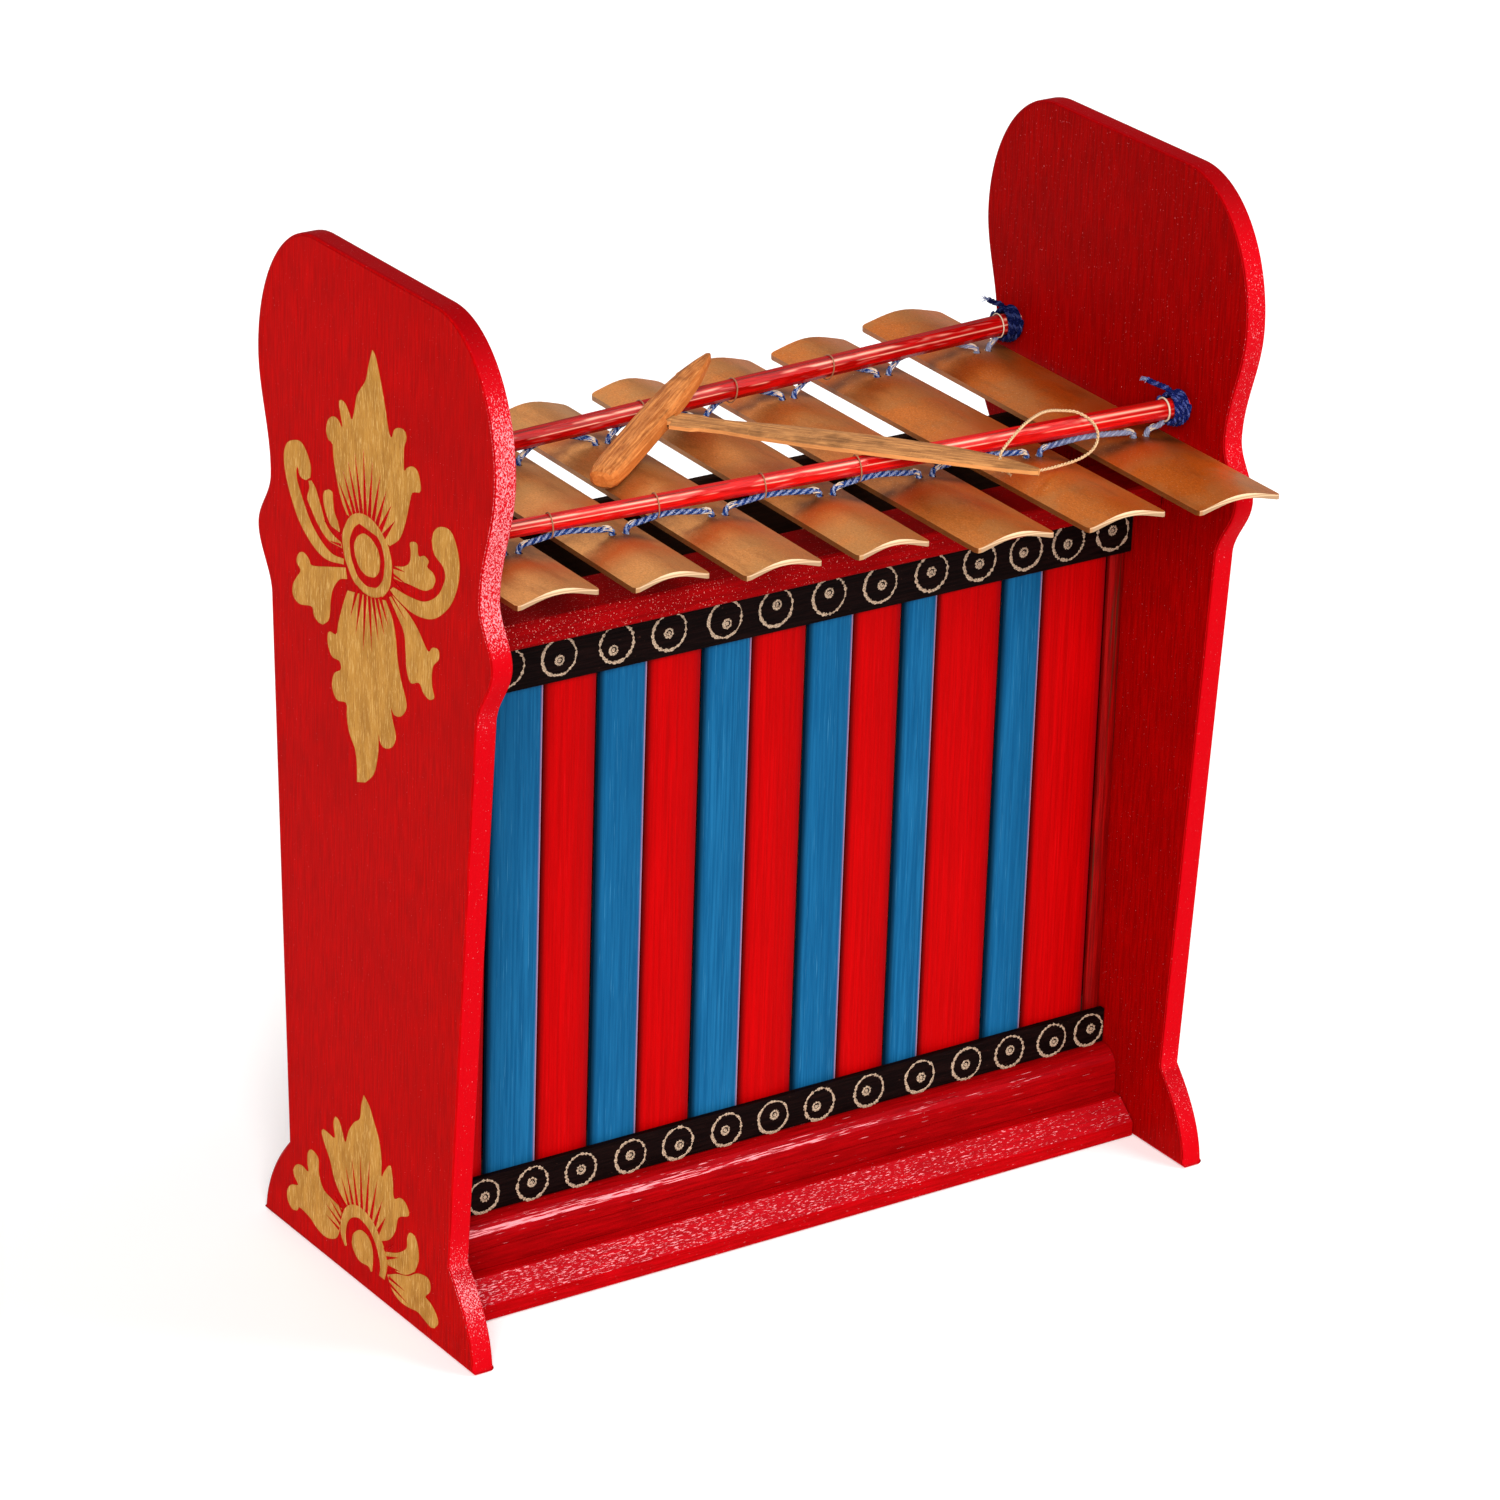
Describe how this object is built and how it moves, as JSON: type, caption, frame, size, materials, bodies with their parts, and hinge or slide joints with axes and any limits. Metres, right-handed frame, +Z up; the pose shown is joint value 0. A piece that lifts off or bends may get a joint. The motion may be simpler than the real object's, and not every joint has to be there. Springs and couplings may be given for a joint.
{
  "type": "metallophone",
  "caption": "Case metallophone with arched metal keys hung on cord under two bamboo rods, tuned resonator tubes in a slatted wooden case, and a wooden mallet.",
  "frame": {"origin": "on the resting plane, under the middle of the bounding box", "axes": "+X along the row of keys from the shortest key to the longest, +Y from the slatted front wall to the rear wall, +Z up"},
  "size_m": [0.34, 0.2308, 0.4095],
  "materials": {
    "red_paint": "glossy red paint on wood",
    "blue_paint": "satin blue paint on split bamboo",
    "black_paint": "satin black paint with stamped gold rings and dots",
    "raw_bamboo": "bare bamboo and wood inside the case",
    "red_bamboo": "glossy red paint on planed bamboo",
    "key_bronze": "brown oxidised sheet with heat tint and bright cut edges",
    "blue_cord": "twisted blue cord with pale flecks",
    "twine": "pale twisted twine",
    "mallet_wood": "bare oiled hardwood"
  },
  "bodies": {
    "frame": {"base_board": "red_paint", "end_panel_left": "red_paint", "end_panel_right": "red_paint", "plinth": "red_paint", "lower_band": "black_paint", "upper_band": "black_paint", "cornice": "red_paint", "inner_rail_lower": "red_paint", "inner_rail_upper": "red_paint", "stile_left": "red_paint", "stile_right": "red_paint", "slat_01": "red_paint", "slat_02": "blue_paint", "slat_03": "red_paint", "slat_04": "blue_paint", "slat_05": "red_paint", "slat_06": "blue_paint", "slat_07": "red_paint", "slat_08": "blue_paint", "slat_09": "red_paint", "slat_10": "blue_paint", "slat_11": "red_paint", "slat_12": "blue_paint", "slat_13": "red_paint", "rear_board": "red_paint", "resonator_1": "raw_bamboo", "resonator_2": "raw_bamboo", "resonator_3": "raw_bamboo", "resonator_4": "raw_bamboo", "resonator_5": "raw_bamboo", "resonator_6": "raw_bamboo", "resonator_7": "raw_bamboo", "tube_rail_front": "raw_bamboo", "tube_rail_rear": "raw_bamboo", "rod_front": "red_bamboo", "rod_rear": "red_bamboo", "cord_front": "blue_cord", "cord_rear": "blue_cord", "lashing_front_left": "blue_cord", "lashing_front_right": "blue_cord", "lashing_rear_left": "blue_cord", "lashing_rear_right": "blue_cord"},
    "key_1": {"key_1": "key_bronze"},
    "key_2": {"key_2": "key_bronze"},
    "key_3": {"key_3": "key_bronze"},
    "key_4": {"key_4": "key_bronze"},
    "key_5": {"key_5": "key_bronze"},
    "key_6": {"key_6": "key_bronze"},
    "key_7": {"key_7": "key_bronze"},
    "mallet": {"mallet_head": "mallet_wood", "mallet_handle": "mallet_wood", "mallet_loop": "twine"}
  },
  "joints": [
    {"name": "key_1_bounce", "type": "slide", "parent": "frame", "child": "key_1", "axis": [0, 0, 1], "range_m": [0, 0.0006]},
    {"name": "key_2_bounce", "type": "slide", "parent": "frame", "child": "key_2", "axis": [0, 0, 1], "range_m": [0, 0.0006]},
    {"name": "key_3_bounce", "type": "slide", "parent": "frame", "child": "key_3", "axis": [0, 0, 1], "range_m": [0, 0.0006]},
    {"name": "key_4_bounce", "type": "slide", "parent": "frame", "child": "key_4", "axis": [0, 0, 1], "range_m": [0, 0.0006]},
    {"name": "key_5_bounce", "type": "slide", "parent": "frame", "child": "key_5", "axis": [0, 0, 1], "range_m": [0, 0.0006]},
    {"name": "key_6_bounce", "type": "slide", "parent": "frame", "child": "key_6", "axis": [0, 0, 1], "range_m": [0, 0.0006]},
    {"name": "key_7_bounce", "type": "slide", "parent": "frame", "child": "key_7", "axis": [0, 0, 1], "range_m": [0, 0.0006]},
    {"name": "mallet_lift", "type": "slide", "parent": "frame", "child": "mallet", "axis": [0, 0, 1], "range_m": [0, 0.12]}
  ]
}
